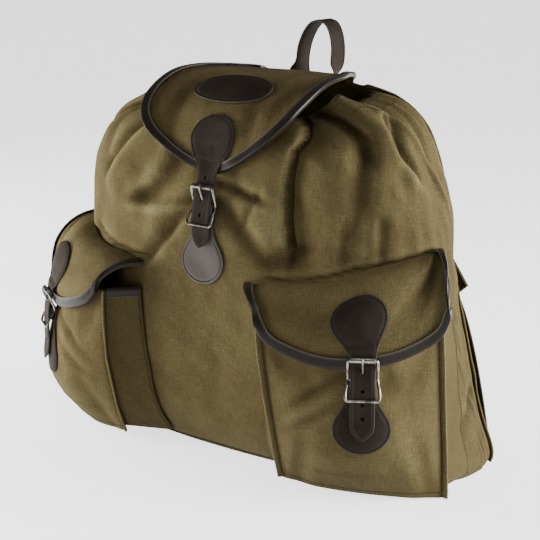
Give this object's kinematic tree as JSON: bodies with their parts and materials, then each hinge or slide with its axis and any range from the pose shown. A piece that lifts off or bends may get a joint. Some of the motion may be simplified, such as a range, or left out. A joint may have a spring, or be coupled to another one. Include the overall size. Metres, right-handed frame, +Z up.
{
  "type": "hunting rucksack",
  "caption": "Canvas hunting rucksack with leather trim, a buckled lid flap over an open mouth, gusseted front pockets under buckled flaps, a leather carry loop and padded shoulder straps.",
  "frame": {"origin": "centre of the bounding box's bottom face, on the surface that the bag stands on", "axes": "+Z up, -Y out of the front face with the lid's buckle and the pockets, +X towards the pocket named right"},
  "size_m": [0.5686, 0.265, 0.4703],
  "materials": {
    "canvas": "waxed olive-brown cotton canvas",
    "leather": "dark brown bridle leather, half gloss",
    "nickel": "antiqued nickel plate"
  },
  "bodies": {
    "root": {"body_wrap": "canvas", "back_panel": "canvas", "base_panel": "canvas", "lid": "canvas", "lid_binding": "leather", "oval_patch": "leather", "pocket_front_right": "canvas", "pocket_front_left": "canvas", "pocket_gusset_right": "canvas", "pocket_gusset_left": "canvas", "pocket_inner_rim_right": "leather", "pocket_inner_rim_left": "leather", "pocket_outer_rim_right": "leather", "pocket_outer_rim_left": "leather", "pocket_flap_right": "canvas", "pocket_flap_left": "canvas", "flap_binding_right": "leather", "flap_binding_left": "leather", "upper_tab_main": "leather", "upper_tab_right": "leather", "upper_tab_left": "leather", "lower_tab_main": "leather", "lower_tab_right": "leather", "lower_tab_left": "leather", "buckle_frame_main": "nickel", "buckle_frame_right": "nickel", "buckle_frame_left": "nickel", "buckle_roller_main": "nickel", "buckle_roller_right": "nickel", "buckle_roller_left": "nickel", "buckle_tongue_main": "nickel", "buckle_tongue_right": "nickel", "buckle_tongue_left": "nickel", "carry_handle": "leather", "shoulder_pad_right": "canvas", "shoulder_pad_left": "canvas", "lower_strap_right": "leather", "lower_strap_left": "leather"}
  },
  "joints": []
}
